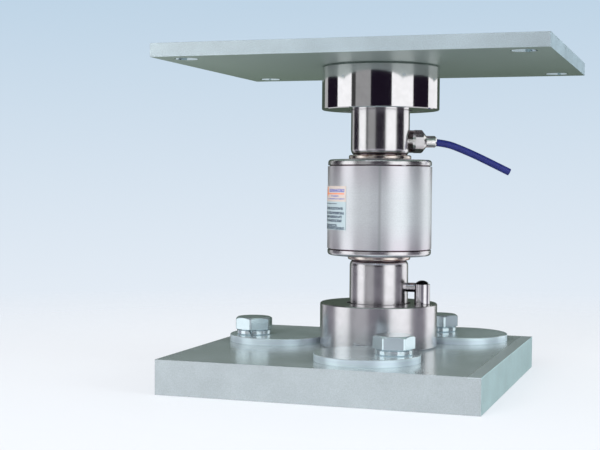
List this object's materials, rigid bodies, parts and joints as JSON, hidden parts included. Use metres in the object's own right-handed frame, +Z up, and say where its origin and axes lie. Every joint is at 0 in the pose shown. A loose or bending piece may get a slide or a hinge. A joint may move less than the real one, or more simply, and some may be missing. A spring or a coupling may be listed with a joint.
{
  "type": "strain gauge load cell",
  "caption": "Compression column load cell with welded gauge housing and cable gland, standing between two cups in a mounting kit of base plate, locating discs and top plate.",
  "frame": {"origin": "on the column's axis at the underside of the base plate", "axes": "+Z up the column, +X along the plates' front edge to the cable side, +Y from the front edge to the back"},
  "size_m": [0.256, 0.2195, 0.2245],
  "materials": {
    "base_plate_steel": "zinc plated, smooth",
    "top_plate_steel": "zinc plated, satin",
    "cup_steel": "hardened and ground, satin",
    "screw_steel": "stainless, smooth",
    "seal_rubber": "matt black elastomer",
    "polished_steel": "mirror polished stainless steel",
    "housing_steel": "stainless, brushed round the axis",
    "weld_metal": "heat tinted weld",
    "gauge_foil": "polyimide backed foil",
    "board_laminate": "solder masked laminate",
    "lead_insulation": "insulated leads in a sleeve",
    "gland_nickel": "nickel plated, smooth",
    "cable_sheath": "smooth blue sheath",
    "label_film": "satin film, bare but for colour bands",
    "black_steel": "black oxide",
    "zinc_disc": "bright zinc, turned",
    "zinc_fastener": "bright zinc plated"
  },
  "bodies": {
    "root": {"base_plate": "base_plate_steel", "lower_cup": "cup_steel", "upper_cup": "cup_steel", "cup_screw_1": "screw_steel", "cup_screw_2": "screw_steel", "cup_screw_3": "screw_steel", "top_plate": "top_plate_steel", "lower_recess_seal": "seal_rubber", "upper_recess_seal": "seal_rubber", "column": "polished_steel", "housing_tube": "housing_steel", "housing_upper_cap": "housing_steel", "housing_lower_cap": "housing_steel", "upper_weld_bead": "weld_metal", "lower_weld_bead": "weld_metal", "strain_gauge_1": "gauge_foil", "strain_gauge_2": "gauge_foil", "strain_gauge_3": "gauge_foil", "strain_gauge_4": "gauge_foil", "terminal_board": "board_laminate", "lead_bundle": "lead_insulation", "gland_body": "gland_nickel", "gland_sleeve": "gland_nickel", "gland_packing": "seal_rubber", "cable": "cable_sheath", "label_plate": "label_film", "rotation_stop_arm": "polished_steel", "rotation_stop_post": "polished_steel", "rotation_stop_screw": "black_steel", "eccentric_disc_1": "zinc_disc", "eccentric_disc_2": "zinc_disc", "eccentric_disc_3": "zinc_disc", "lock_washer_1": "zinc_fastener", "lock_washer_2": "zinc_fastener", "lock_washer_3": "zinc_fastener", "hex_bolt_1": "zinc_fastener", "hex_bolt_2": "zinc_fastener", "hex_bolt_3": "zinc_fastener"}
  },
  "joints": []
}
